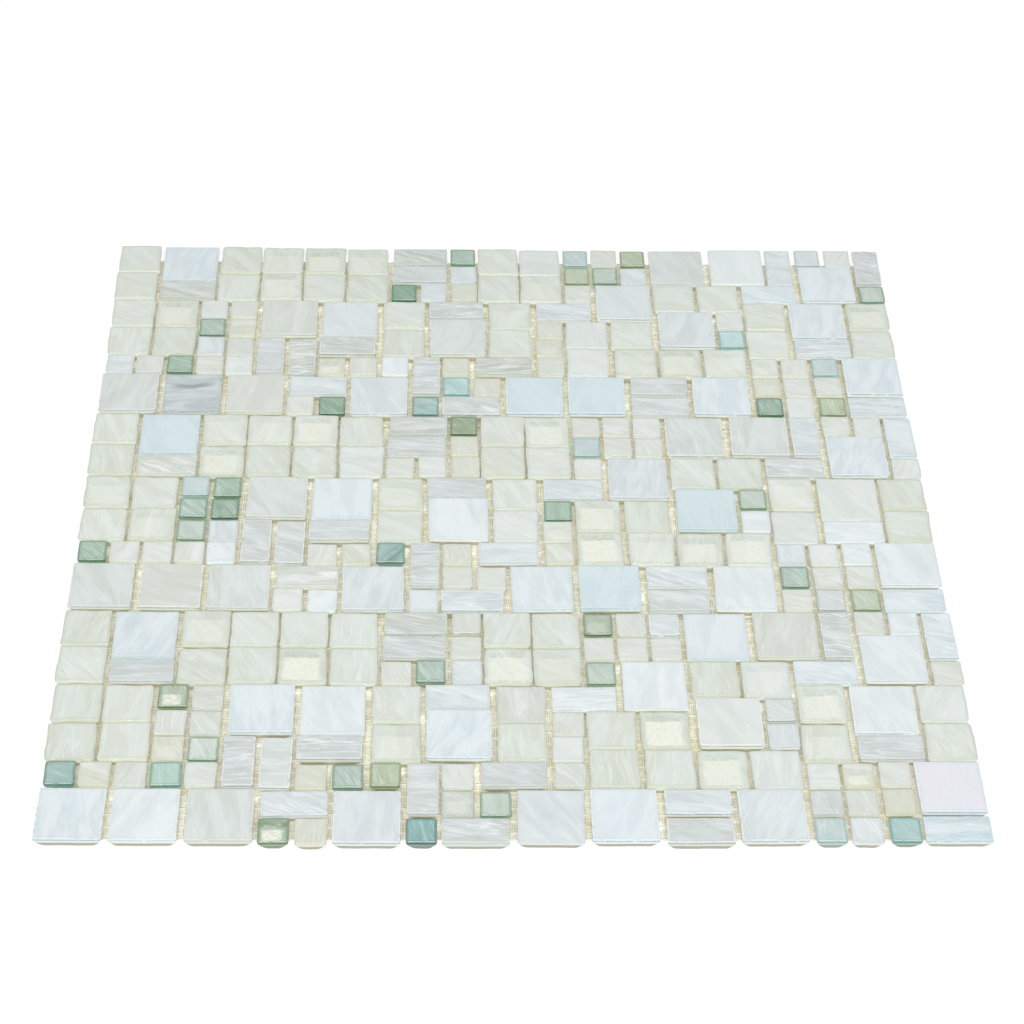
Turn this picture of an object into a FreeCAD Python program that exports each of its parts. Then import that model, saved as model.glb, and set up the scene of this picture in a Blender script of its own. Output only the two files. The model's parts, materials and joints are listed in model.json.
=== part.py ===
import FreeCAD, Part
import os
import random
import Sketcher

# Random-pattern glass mosaic sheet: pressed glass chips on a woven backing net.
# Millimetres. The origin is under the middle of the sheet, on the face that it lies on,
# +Z is up, +X runs along a course to the right and +Y points to the rear edge.

DOC = FreeCAD.newDocument("mosaic_sheet")

# Driving dimensions: alias, value and what it is
DIMENSIONS = [
    ("pitch", 11.3, "small chip and one joint, the unit of the layout"),
    ("small_joint", 1.4, "joint round a small chip and across a strip"),
    ("medium_joint", 1.5, "joint round a medium chip"),
    ("large_joint", 1.7, "joint round a large chip and at the ends of a strip"),
    ("chip_thickness", 5.0, "pressed glass chip, from its back to its polished top"),
    ("bevel_height", 3.0, "height of the drafted lower part of a chip"),
    ("bevel_inset", 1.5, "how far the back of a chip is set in on each side"),
    ("arris", 0.35, "softened edge round the top of a chip"),
    ("thread_width", 0.8, "flat yarn of the net, seen from above"),
    ("thread_thickness", 0.25, "flat yarn of the net, seen from its end"),
    ("net_pitch", 2.5, "from one yarn of the net to the next"),
    ("net_margin_side", 3.0, "net edge set in from the left and right edges"),
    ("net_margin_rear", 2.5, "net edge set in from the rear edge"),
    ("net_margin_front", 5.0, "net edge set in from the front edge"),
]

# The same course of chips lies three times, one in front of the other
COURSES = ["rear", "middle", "front"]

# Size of each chip kind in pitches, width by depth, and the form that it is cast in
CHIP_CELLS = {"S": (1, 1), "M": (1.5, 1.5), "L": (2, 2), "H": (2, 1), "V": (1, 2)}
CHIP_FORMS = {"S": "small_form", "M": "medium_form", "L": "large_form",
              "H": "strip_form", "V": "strip_form"}

# One course, in runs of chips that lie one in front of the other: left side and rear side of
# the run in pitches, its chips from rear to front, and how far the run lies off its cells to
# the right and to the rear in millimetres
COLUMNS = [
    (0, 0, "MM", -0.5, 0.3), (0, 3, "MM", -0.2, 0.0), (0, 6, "S", 0.4, 0.6),
    (0, 7, "L", -0.3, 0.8), (1, 6, "S", 0.1, 0.3), (1.5, 0, "L", -0.4, 0.0),
    (1.5, 2, "H", -0.2, 0.3), (1.5, 3, "M", -0.5, -0.4), (1.5, 4.5, "M", -0.1, 0.3),
    (2, 6, "S", 0.2, 0.3), (2, 7, "L", 0.4, 0.5), (3, 3, "SSS", -0.4, 0.0),
    (3, 6, "S", -0.1, 0.1), (3.5, 0, "M", -0.3, 0.0), (3.5, 1.5, "M", -0.5, -0.6),
    (4, 3, "SSS", -0.4, -0.4), (4, 6, "S", -0.5, 0.2), (4, 7, "L", 1.0, 0.4),
    (5, 0, "M", -0.9, -0.3), (5, 1.5, "M", -0.8, 0.2), (5, 3, "L", 0.4, 0.4),
    (5, 5, "V", -0.1, 0.2), (6, 5, "V", 0.4, -0.6), (6.06, 7, "H", 0.7, -0.6),
    (6.06, 8, "S", 0.2, -0.3), (6.5, 0, "MM", -1.2, -0.3), (7, 3, "L", 0.9, -0.3),
    (7, 5, "H", 0.3, 0.2), (7, 6, "S", 0.5, -0.9), (7.06, 8, "S", 0.6, -0.6),
    (8, 0, "M", -1.6, -0.9), (8, 1.5, "M", -1.4, -0.4), (8, 6, "S", 0.9, -0.6),
    (8.08, 7, "L", 0.7, -0.4), (9.08, 3, "MM", 0.8, -0.6), (9.08, 6, "S", 0.6, 0.0),
    (9.5, 0, "H", -0.7, -0.6), (9.5, 1, "H", -1.2, -0.1), (9.5, 2, "S", -1.4, -0.8),
    (10.12, 6, "V", 0.7, 0.1), (10.12, 8, "S", 0.4, -0.5), (10.5, 2, "S", -1.3, 0.1),
    (10.66, 3, "H", 0.1, 0.1), (10.66, 4, "L", 0.6, 0.7), (11.14, 6, "SS", 0.3, -0.5),
    (11.14, 8, "H", 0.0, -0.5), (11.5, 0, "SS", -0.9, -0.2), (11.5, 2, "S", -0.5, -0.1),
    (12.2, 6, "H", 0.6, 0.3), (12.2, 7, "S", 0.0, -0.8), (12.5, 0, "MM", -1.2, -0.3),
    (12.66, 3, "M", 1.0, -0.6), (12.66, 4.5, "M", 0.8, -0.1), (13.15, 7, "L", 0.8, 0.0),
    (14, 0, "M", -1.8, -0.8), (14, 1.5, "M", -1.8, -0.4), (14.27, 3, "HS", 0.7, -0.7),
    (14.27, 5, "S", 0.1, -0.2), (14.27, 6, "S", 0.5, 0.2), (15.17, 7, "L", 1.1, 0.4),
    (15.3, 4, "M", 0.2, -0.5), (15.3, 5.5, "M", 0.3, 0.0), (15.5, 0, "SSS", -1.7, -0.7),
    (16.5, 0, "SS", -1.8, -0.5), (16.5, 2, "L", -1.1, -0.2), (16.88, 4, "M", -0.4, -0.6),
    (16.88, 5.5, "M", 0.2, 0.0), (17.3, 7, "H", 0.7, 0.2), (17.3, 8, "H", 0.6, -0.3),
    (17.5, 0, "SS", -1.9, -0.7), (18.5, 0, "L", -1.7, -0.3), (18.5, 2, "M", -0.9, -0.2),
    (18.5, 3.5, "L", -0.2, 0.3), (18.5, 5.5, "M", -1.1, -0.4), (19.38, 7, "L", 0.1, 0.4),
    (20, 2, "M", -0.8, -0.3), (20, 5.5, "M", -1.0, -0.3), (20.5, 0, "L", -0.6, 0.4),
    (20.5, 3.5, "SS", -0.2, 0.1), (21.5, 2, "H", -0.4, 0.1), (21.5, 3, "M", -0.4, 0.3),
    (21.5, 4.5, "M", -0.8, -0.2), (21.5, 6, "SSS", -0.5, 0.1), (22.5, 0, "V", -0.6, 0.5),
    (22.5, 6, "SSS", -0.5, 0.0), (23, 3, "L", -0.1, 0.3), (23, 5, "H", 0.2, 0.6),
    (23.5, 0, "S", 0.0, 0.7), (23.5, 1, "L", 0.3, 1.0), (23.5, 6, "SS", -0.2, 0.6),
    (23.5, 8, "S", 0.2, 0.2), (24.5, 0, "S", 0.4, 0.4), (24.5, 6, "L", 0.1, 1.0),
    (24.5, 8, "H", -0.2, 0.5), (25, 3, "MM", -0.1, 0.3), (25.5, 0, "VS", 0.5, 0.2),
]


def course_chips():
    """List the chips of one course: kind, left and rear side in pitches, and how far off."""
    chips = []
    for left, rear, kinds, off_right, off_rear in COLUMNS:
        for kind in kinds:
            chips.append((kind, left, rear, (off_right, off_rear)))
            rear += CHIP_CELLS[kind][1]
    return chips


CHIPS = course_chips()
COURSE_WIDTH = max(left + CHIP_CELLS[kind][0] for kind, left, rear, off in CHIPS)
COURSE_DEPTH = max(rear + CHIP_CELLS[kind][1] for kind, left, rear, off in CHIPS)

# Glass of each chip kind where the lists below name no other
COMMON_GLASS = {"S": "small_white_chips", "M": "medium_green_chips", "L": "large_pearl_chips",
                "H": "pearl_strips", "V": "pearl_strips"}

# Chips of other glass in each course, by the left and rear side of their cell
OTHER_GLASS = {
    "rear": {
        "large_blue_chips": [(16.5, 2), (7, 3), (13.15, 7), (15.17, 7)],
        "small_green_chips": [(11.5, 0), (9.5, 2), (17.5, 0), (15.5, 1), (16.5, 1), (25.5, 2),
                              (3, 4), (2, 6), (7.06, 8), (23.5, 8)],
        "small_teal_chips": [(15.5, 0), (23.5, 0), (20.5, 4.5), (23.5, 6), (10.12, 8),
                             (11.14, 7), (21.5, 8)],
        "small_cream_chips": [(7, 6), (11.5, 2), (14.27, 4), (14.27, 5), (11.14, 6),
                              (12.2, 7), (24.5, 0), (21.5, 6), (21.5, 7), (4, 4), (4, 5)],
    },
    "middle": {
        "large_blue_chips": [(1.5, 0), (7, 3), (18.5, 3.5), (15.17, 7)],
        "small_green_chips": [(11.5, 0), (4, 3), (3, 4), (4, 4), (3, 5), (0, 6), (23.5, 8)],
        "small_teal_chips": [(15.5, 1), (3, 3), (9.08, 6), (14.27, 4), (20.5, 3.5),
                             (21.5, 7), (22.5, 8)],
        "small_cream_chips": [(11.5, 1), (11.5, 2), (10.5, 2), (14.27, 6), (11.14, 6),
                              (12.2, 7), (21.5, 6), (22.5, 6), (6.06, 8), (8, 6)],
    },
    "front": {
        "large_blue_chips": [(18.5, 0), (15.17, 7), (24.5, 6)],
        "small_green_chips": [(15.5, 0), (11.5, 0), (3, 3), (4, 5), (9.08, 6), (12.2, 7),
                              (6.06, 8)],
        "small_teal_chips": [(10.5, 2), (15.5, 2), (20.5, 3.5), (0, 6), (3, 6), (8, 6),
                             (10.12, 8), (21.5, 8), (23.5, 8)],
        "small_cream_chips": [(7, 6), (11.14, 7), (22.5, 6), (23.5, 7), (3, 5), (1, 6),
                              (7.06, 8), (14.27, 5)],
    },
}

# The net lies in two layers of yarns, each in three groups
WEFT_GROUPS = ["net_weft_front", "net_weft_middle", "net_weft_rear"]
WARP_GROUPS = ["net_warp_left", "net_warp_middle", "net_warp_right"]

# Hand-laid scatter of the chips
PLACE_SCATTER = 0.12
TURN_SCATTER_DEGREES = 0.6
scatter = random.Random(12)


def make_sheet():
    """Put the driving dimensions in a spreadsheet, each cell with its alias."""
    sheet = DOC.addObject("Spreadsheet::Sheet", "sizes")
    for row, (alias, value, meaning) in enumerate(DIMENSIONS, start=1):
        sheet.set(f"A{row}", alias)
        sheet.set(f"B{row}", str(value))
        sheet.set(f"C{row}", meaning)
        sheet.setAlias(f"B{row}", alias)
    DOC.recompute()
    return sheet


sizes = make_sheet()


def origin_plane(body, role):
    """Find one of a body's own origin planes by its role."""
    return next(plane for plane in body.Origin.OriginFeatures if plane.Role == role)


def centred_rectangle(body, name, width, depth):
    """Sketch a rectangle about the body's origin, its sides bound to two expressions."""
    sketch = body.newObject("Sketcher::SketchObject", name)
    sketch.AttachmentSupport = [(origin_plane(body, "XY_Plane"), "")]
    sketch.MapMode = "FlatFace"
    corners = [FreeCAD.Vector(x, y, 0) for x, y in ((-5, -5), (5, -5), (5, 5), (-5, 5))]
    for i in range(4):
        sketch.addGeometry(Part.LineSegment(corners[i], corners[(i + 1) % 4]))
    for i in range(4):
        sketch.addConstraint(Sketcher.Constraint("Coincident", i, 2, (i + 1) % 4, 1))
    for i, way in enumerate(("Horizontal", "Vertical", "Horizontal", "Vertical")):
        sketch.addConstraint(Sketcher.Constraint(way, i))
    sketch.addConstraint(Sketcher.Constraint("Symmetric", 0, 1, 1, 2, -1, 1))
    across = sketch.addConstraint(Sketcher.Constraint("DistanceX", 0, 1, 0, 2, 10))
    along = sketch.addConstraint(Sketcher.Constraint("DistanceY", 1, 1, 1, 2, 10))
    sketch.setExpression(f"Constraints[{across}]", width)
    sketch.setExpression(f"Constraints[{along}]", depth)
    return sketch


def pad(body, name, sketch, length):
    """Pad a sketch upwards by an expression."""
    feature = body.newObject("PartDesign::Pad", name)
    feature.Profile = sketch
    feature.setExpression("Length", length)
    sketch.Visibility = False
    return feature


def edges_at(shape, height):
    """Name the edges of a shape that lie level at a height."""
    return [f"Edge{i}" for i, edge in enumerate(shape.Edges, start=1)
            if all(abs(vertex.Z - height) < 1e-6 for vertex in edge.Vertexes)]


def check_back(shape):
    """Stop if the back of a chip isn't set in by the bevel on both sides."""
    back = [vertex.X for vertex in shape.Vertexes if abs(vertex.Z) < 1e-6]
    inset = (shape.BoundBox.XLength - (max(back) - min(back))) / 2
    if abs(inset - sizes.bevel_inset) > 1e-6:
        raise RuntimeError(f"the back of a chip is set in by {inset:.2f} mm")


def chip_form(name, width, depth):
    """Model one cast chip: a block drafted in towards its back, with a soft top edge."""
    body = DOC.addObject("PartDesign::Body", name)
    outline = centred_rectangle(body, name + "_outline", width, depth)
    block = pad(body, name + "_block", outline, "sizes.chip_thickness")
    DOC.recompute()
    draft = body.newObject("PartDesign::Chamfer", name + "_draft")
    draft.Base = (block, edges_at(block.Shape, 0))
    draft.ChamferType = "Two distances"
    draft.setExpression("Size", "sizes.bevel_height")
    draft.setExpression("Size2", "sizes.bevel_inset")
    DOC.recompute()
    check_back(draft.Shape)
    top = max(vertex.Z for vertex in draft.Shape.Vertexes)
    soft = body.newObject("PartDesign::Chamfer", name + "_arris")
    soft.Base = (draft, edges_at(draft.Shape, top))
    soft.setExpression("Size", "sizes.arris")
    DOC.recompute()
    return body


def chip_forms():
    """Make the four forms that every chip of the sheet is a copy of."""
    small = "sizes.pitch - sizes.small_joint"
    medium = "1.5 * sizes.pitch - sizes.medium_joint"
    large = "2 * sizes.pitch - sizes.large_joint"
    return {
        "small_form": chip_form("small_form", small, small),
        "medium_form": chip_form("medium_form", medium, medium),
        "large_form": chip_form("large_form", large, large),
        "strip_form": chip_form("strip_form", large, small),
    }


def glass_of(course, kind, left, rear):
    """Say which glass a chip of a course is cast from."""
    for glass, places in OTHER_GLASS[course].items():
        if (left, rear) in places:
            return glass
    return COMMON_GLASS[kind]


def place(item, across, back, height):
    """Bind an item's place to the pitch: pitches from the left and from the rear edge."""
    middle = COURSE_WIDTH / 2
    behind = COURSE_DEPTH * len(COURSES) / 2
    x, y = item.Placement.Base.x, item.Placement.Base.y
    item.setExpression("Placement.Base.x", f"({across - middle:.4f}) * sizes.pitch + ({x:.4f})")
    item.setExpression("Placement.Base.y", f"({behind - back:.4f}) * sizes.pitch + ({y:.4f})")
    item.setExpression("Placement.Base.z", height)


def lay_chip(form, kind, left, rear, off, name):
    """Lay one chip near the middle of its cell, a little out of place as laid by hand."""
    width, depth = CHIP_CELLS[kind]
    chip = DOC.addObject("App::Link", name)
    chip.LinkedObject = form
    turn = scatter.uniform(-TURN_SCATTER_DEGREES, TURN_SCATTER_DEGREES)
    turn += 90 if kind == "V" else 0
    shift = [way + scatter.uniform(-PLACE_SCATTER, PLACE_SCATTER) for way in off]
    chip.Placement = FreeCAD.Placement(
        FreeCAD.Vector(shift[0], shift[1], 0), FreeCAD.Rotation(FreeCAD.Vector(0, 0, 1), turn))
    place(chip, left + width / 2, rear + depth / 2, "2 * sizes.thread_thickness")
    return chip


def lay_course(number, course, forms):
    """Lay the chips of one course and join those of each glass in one sub-part."""
    by_glass = {}
    for kind, left, rear, off in CHIPS:
        glass = glass_of(course, kind, left, rear)
        chips = by_glass.setdefault(glass, [])
        name = f"{glass}_{course}_{len(chips) + 1}"
        behind = rear + number * COURSE_DEPTH
        chips.append(lay_chip(forms[CHIP_FORMS[kind]], kind, left, behind, off, name))
    groups = []
    for glass, chips in by_glass.items():
        group = DOC.addObject("Part::Compound", f"{glass}_{course}")
        group.Links = chips
        groups.append(group)
    return groups


def lay_yarns(yarn, axis, corner, count, groups):
    """Lay parallel copies of a yarn, a net pitch apart, and share them between sub-parts."""
    copies = []
    for number in range(count):
        copy = DOC.addObject("App::Link", f"{yarn.Name}_{number + 1}")
        copy.LinkedObject = yarn
        for way, start in corner.items():
            step = f" + {number} * sizes.net_pitch" if way == axis else ""
            copy.setExpression(f"Placement.Base.{way}", start + step)
        copies.append(copy)
    shares = []
    for number, name in enumerate(groups):
        share = DOC.addObject("Part::Compound", name)
        share.Links = copies[number * count // len(groups):(number + 1) * count // len(groups)]
        shares.append(share)
    return shares


def flat_yarn(name, length, width):
    """Make one flat yarn of the net."""
    yarn = DOC.addObject("Part::Box", name)
    yarn.setExpression("Length", length)
    yarn.setExpression("Width", width)
    yarn.setExpression("Height", "sizes.thread_thickness")
    return yarn


def backing_net():
    """Make the net: weft yarns along the courses, and warp yarns lying across them."""
    span = f"({COURSE_WIDTH} * sizes.pitch - sizes.small_joint)"
    reach = f"({COURSE_DEPTH * len(COURSES)} * sizes.pitch - sizes.small_joint)"
    weft = flat_yarn("weft_yarn", f"{span} - 2 * sizes.net_margin_side", "sizes.thread_width")
    warp = flat_yarn("warp_yarn", "sizes.thread_width",
                     f"{reach} - sizes.net_margin_rear - sizes.net_margin_front")
    DOC.recompute()
    corner = {"x": f"-{span} / 2 + sizes.net_margin_side",
              "y": f"-{reach} / 2 + sizes.net_margin_front"}
    weft_count = int((warp.Width.Value - sizes.thread_width) / sizes.net_pitch) + 1
    warp_count = int((weft.Length.Value - sizes.thread_width) / sizes.net_pitch) + 1
    wefts = lay_yarns(weft, "y", corner, weft_count, WEFT_GROUPS)
    above_weft = dict(corner, z="sizes.thread_thickness")
    return wefts + lay_yarns(warp, "x", above_weft, warp_count, WARP_GROUPS)


def check(item):
    """Stop if an object failed or has no valid shape."""
    if any(state in ("Invalid", "Error") for state in item.State):
        raise RuntimeError(f"{item.Name} failed: {item.State}")
    if hasattr(item, "Shape") and not item.isDerivedFrom("Sketcher::SketchObject"):
        if item.Shape.isNull() or not item.Shape.isValid():
            raise RuntimeError(f"{item.Name} has no valid shape")


def export(parts):
    """Write each sub-part to its own file and print what it holds."""
    os.makedirs("parts", exist_ok=True)
    for part in parts:
        part.Shape.exportStep(f"parts/{part.Label}.step")
        volume = part.Shape.Volume / 1000
        print(f"{part.Label}: {len(part.Shape.Solids)} solids, {volume:.2f} cm3")


forms = chip_forms()
sub_parts = backing_net()
for number, course in enumerate(COURSES):
    sub_parts += lay_course(number, course, forms)
DOC.recompute()
for item in DOC.Objects:
    check(item)
export(sub_parts)
box = FreeCAD.BoundBox()
for part in sub_parts:
    box.add(part.Shape.BoundBox)
print(f"sheet {box.XLength:.1f} x {box.YLength:.1f} x {box.ZLength:.2f} mm")
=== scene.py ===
# %% [markdown]
# # A sheet of glass mosaic on its net
# The sheet is 360 chips of pressed glass in four sizes, glued by their backs to a woven
# glass fibre net. The chips are cast: each has a flat polished top, a short upright wall and
# a lower part that draws in towards the back, so that grout can grip it.
#
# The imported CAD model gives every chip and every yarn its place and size. This script reads
# those, dresses each chip as real glass and weaves the net. It works in metres.

import json
import math
import random

import bmesh
import bpy
import numpy as np
from mathutils import Matrix, Vector


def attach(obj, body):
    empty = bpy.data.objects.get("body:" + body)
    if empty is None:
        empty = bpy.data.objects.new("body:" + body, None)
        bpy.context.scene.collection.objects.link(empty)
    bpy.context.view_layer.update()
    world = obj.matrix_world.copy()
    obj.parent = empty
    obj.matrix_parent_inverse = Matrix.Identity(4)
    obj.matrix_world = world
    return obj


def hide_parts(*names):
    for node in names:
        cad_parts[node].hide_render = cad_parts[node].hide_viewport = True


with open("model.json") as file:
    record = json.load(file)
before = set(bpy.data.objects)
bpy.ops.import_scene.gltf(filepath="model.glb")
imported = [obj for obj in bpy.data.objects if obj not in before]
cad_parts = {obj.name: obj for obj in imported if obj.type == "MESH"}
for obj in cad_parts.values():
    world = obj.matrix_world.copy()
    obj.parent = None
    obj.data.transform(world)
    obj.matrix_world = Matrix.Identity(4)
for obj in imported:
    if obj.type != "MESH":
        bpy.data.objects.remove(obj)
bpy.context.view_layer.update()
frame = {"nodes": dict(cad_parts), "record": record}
MM = 0.001
print("nodes in the frame:", len(frame["nodes"]))

# %% [markdown]
# ## Reading the chips from the frame
# One CAD node holds all like chips of a course as loose solids. Walking from corner to
# corner along the edges finds the solids one by one. The widest level of a chip then gives
# its centre, how far it is turned, and its width and depth.
#
# The layout is counted in pitches, one small chip and one joint. A chip's place in pitches
# from the left and from the rear of its course is its address in the lists further down; it
# lies up to a fifth of a pitch off the even numbers that the lists use.

# %% Find the solids of a node
PITCH = 11.3
COURSE_DEPTH = 9.0
COURSES = ["rear", "middle", "front"]
SHEET_PITCHES = (26.5, 27.0)


def solids_of(node):
    """Return the corners of each separate solid of a CAD node, in millimetres."""
    grid = bmesh.new()
    grid.from_mesh(frame["nodes"][node].data)
    bmesh.ops.remove_doubles(grid, verts=grid.verts[:], dist=0.001 * MM)
    found = []
    seen = set()
    for start in grid.verts:
        if start in seen:
            continue
        seen.add(start)
        solid = [start]
        for corner in solid:
            for edge in corner.link_edges:
                other = edge.other_vert(corner)
                if other not in seen:
                    seen.add(other)
                    solid.append(other)
        found.append(np.array([corner.co[:] for corner in solid]) / MM)
    grid.free()
    return found


def read_chip(corners):
    """Measure one chip: its centre, turn, half sizes, course and address in pitches."""
    low, high = corners.min(axis=0), corners.max(axis=0)
    centre = (low + high) / 2
    wide = corners[corners[:, 0] > high[0] - 0.3]
    rear = wide[wide[:, 1].argmax()]
    front = wide[wide[:, 1].argmin()]
    turn = math.atan2(front[0] - rear[0], rear[1] - front[1])
    across = (corners - centre)[:, :2]
    cosine, sine = math.cos(-turn), math.sin(-turn)
    square = across @ np.array([[cosine, sine], [-sine, cosine]])
    half = (square.max(axis=0) - square.min(axis=0)) / 2
    cells = np.round(2 * half / PITCH * 2) / 2
    left = SHEET_PITCHES[0] / 2 + centre[0] / PITCH - cells[0] / 2
    back = SHEET_PITCHES[1] / 2 - centre[1] / PITCH - cells[1] / 2
    course = int((back + 0.3) // COURSE_DEPTH)
    return {"centre": centre[:2], "low": low[2], "high": high[2], "turn": turn, "half": half,
            "course": COURSES[course], "place": (left, back - course * COURSE_DEPTH)}


chips_of = {}
for node in sorted(frame["nodes"]):
    if not node.startswith("net"):
        chips = [read_chip(solid) for solid in solids_of(node)]
        chips_of[node] = sorted(chips, key=lambda chip: (round(chip["place"][1], 1), chip["place"][0]))
sizes = sorted({tuple(np.round(2 * chip["half"], 1)) for chips in chips_of.values() for chip in chips})
print("chips:", sum(len(chips) for chips in chips_of.values()), "sizes in mm:", sizes)

# %% [markdown]
# ## The colours of the glass
# The glass of such a sheet comes from many melts: pearly white and pale blue for the large
# chips, clear pale green for the middle ones, and green and teal as accents among the small
# ones. A short palette of named glasses, each with the colour of its body and of its thick
# edges, keeps this readable. Lists of addresses then say which chip has which glass.

# %% Name the glasses
# Body and edge colour of each glass, as red, green and blue from 0 to 255
GLASSES = {
    "warm grey": ((216, 222, 215), (196, 203, 190)),
    "dull grey": ((207, 213, 207), (174, 184, 172)),
    "pearl grey": ((212, 219, 218), (184, 191, 186)),
    "cool grey": ((218, 225, 222), (190, 197, 190)),
    "lavender": ((221, 230, 232), (190, 199, 202)),
    "pale blue": ((213, 229, 233), (178, 202, 210)),
    "blue white": ((227, 236, 240), (186, 206, 211)),
    "bright white": ((233, 240, 242), (204, 214, 216)),
    "soft white": ((226, 232, 229), (204, 212, 204)),
    "warm white": ((220, 226, 220), (206, 208, 192)),
    "iridescent": ((232, 236, 241), (176, 204, 226)),
    "clear pale green": ((217, 226, 217), (200, 203, 182)),
    "milky green": ((221, 230, 222), (205, 208, 192)),
    "clear cream": ((216, 221, 208), (204, 204, 180)),
    "deep green": ((142, 175, 152), (58, 104, 72)),
    "sage": ((166, 192, 174), (84, 124, 90)),
    "light sage": ((178, 199, 187), (94, 134, 104)),
    "olive": ((184, 199, 171), (112, 136, 84)),
    "light olive": ((196, 209, 189), (126, 146, 98)),
    "dark olive": ((154, 173, 142), (84, 104, 60)),
    "teal": ((134, 178, 175), (40, 98, 92)),
    "soft teal": ((161, 191, 184), (76, 128, 112)),
    "light aqua": ((194, 220, 220), (120, 172, 170)),
    "smudged white": ((204, 214, 214), (146, 158, 160)),
    "aqua": ((176, 206, 204), (100, 152, 146)),
    "pale aqua": ((196, 213, 211), (150, 184, 180)),
    "clear green": ((198, 211, 200), (106, 142, 110)),
    "muted sage": ((171, 188, 164), (92, 126, 84)),
    "clear mint": ((213, 224, 216), (100, 140, 104)),
    "mint": ((178, 208, 197), (92, 146, 122)),
    "dark sage": ((148, 178, 158), (62, 98, 68)),
}

# Glass of a chip where no list names another, by the first words of its node
COMMON_GLASS = {
    "large_pearl_chips": "cool grey", "large_blue_chips": "pale blue",
    "medium_green_chips": "clear pale green", "pearl_strips": "pearl grey",
    "small_white_chips": "warm white", "small_cream_chips": "clear cream",
    "small_green_chips": "sage", "small_teal_chips": "aqua",
}

# Chips of a glass of their own, in each course
OWN_GLASS = {
    "rear": {
        "warm grey": [(5, 3), (4, 7), (1, 6), (4, 5)],
        "dull grey": [(7, 5), (1.5, 2), (9.5, 0), (6, 5), (12.2, 6)],
        "lavender": [(18.5, 3.5), (8.08, 7), (16.5, 2), (7, 3), (6.06, 7), (14.27, 3),
                     (3, 5), (11.5, 1), (23, 5), (0, 6), (17.5, 1), (22.5, 0), (10.5, 2),
                     (24.5, 8), (23.5, 0)],
        "blue white": [(23.5, 1), (23, 3), (19.38, 7), (21.5, 2), (1.5, 0), (24.5, 6)],
        "smudged white": [(2, 7)],
        "bright white": [(9.08, 6), (20.5, 0)],
        "soft white": [(15.3, 4), (15.3, 5.5), (3, 3), (24.5, 0), (22.5, 8), (4, 6), (14, 0),
                       (20.5, 3.5)],
        "milky green": [(21.5, 6), (5, 0), (12.5, 0), (18.5, 2), (12.66, 4.5), (12.5, 1.5),
                        (25, 4.5), (9.08, 3), (14, 1.5), (21.5, 4.5)],
        "deep green": [(9.5, 2), (7.06, 8)],
        "dark sage": [(21.5, 8)],
        "olive": [(17.5, 0), (23.5, 8)],
        "light olive": [(15.5, 1)],
        "light sage": [(11.5, 0), (3, 4)],
        "soft teal": [(10.12, 8)],
        "clear green": [(25.5, 2), (16.5, 1)],
        "light aqua": [(11.14, 7), (20.5, 4.5)],
        "pale aqua": [(15.5, 0), (23.5, 6)],
        "cool grey": [(18.5, 0)],
    },
    "middle": {
        "warm grey": [(2, 7), (1.5, 2), (6.06, 7), (22.5, 7)],
        "dull grey": [(9.5, 0)],
        "lavender": [(16.5, 2), (8.08, 7), (12.2, 6), (14.27, 3), (11.14, 8), (21.5, 6), (4, 5),
                     (10.12, 8), (22.5, 0), (17.3, 7)],
        "blue white": [(7, 3), (23.5, 1), (25.5, 0), (24.5, 8), (13.15, 7)],
        "bright white": [(19.38, 7), (10.66, 4), (7.06, 8), (23.5, 6), (4, 6), (20.5, 4.5),
                         (24.5, 6), (23, 5)],
        "soft white": [(22.5, 6), (24.5, 0), (17.5, 0), (12.66, 4.5), (8, 1.5), (21.5, 4.5),
                       (6.06, 8), (10.5, 2), (25.5, 2), (23, 3)],
        "warm white": [(12.2, 7)],
        "clear pale green": [(1.5, 4.5)],
        "dark sage": [(4, 4)],
        "light sage": [(3, 4), (21.5, 7)],
        "light olive": [(23.5, 8)],
        "dark olive": [(11.5, 0)],
        "soft teal": [(9.08, 6)],
        "pale aqua": [(3, 3), (15.5, 1)],
        "clear green": [(3, 5), (20.5, 3.5)],
        "pearl grey": [(22.5, 8)],
        "sage": [(14.27, 4), (0, 6), (4, 3)],
    },
    "front": {
        "warm grey": [(20.5, 0), (12.66, 3), (2, 6), (22.5, 7), (4, 4), (4, 3), (14.27, 6),
                      (11.5, 0)],
        "dull grey": [(9.5, 0), (11.14, 7)],
        "lavender": [(17.3, 7), (8.08, 7), (13.15, 7), (19.38, 7), (17.5, 0), (6.06, 7),
                     (20.5, 4.5), (22.5, 8), (10.66, 3), (11.5, 2)],
        "pale blue": [(24.5, 8)],
        "blue white": [(18.5, 0), (1.5, 0), (0, 7), (5, 3), (25.5, 0), (15.17, 7),
                       (21.5, 2), (10.66, 4)],
        "bright white": [(7, 3), (2, 7), (16.5, 2), (14.27, 3), (23, 3), (23.5, 1), (24.5, 0)],
        "soft white": [(18.5, 3.5), (20, 2), (25, 3), (21.5, 6), (14.27, 5), (20, 5.5)],
        "cool grey": [(6, 5), (20.5, 3.5)],
        "pearl grey": [(21.5, 7)],
        "iridescent": [(24.5, 6)],
        "teal": [(10.12, 8)],
        "soft teal": [(0, 6)],
        "aqua": [(23.5, 8)],
        "pale aqua": [(21.5, 8)],
        "light sage": [(8, 6), (10.5, 2)],
        "clear green": [(12.2, 7), (15.5, 2)],
        "muted sage": [(15.5, 0), (6.06, 8), (3, 3)],
        "clear mint": [(4, 5)],
        "olive": [(9.08, 6)],
        "mint": [(3, 6)],
    },
}

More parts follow.
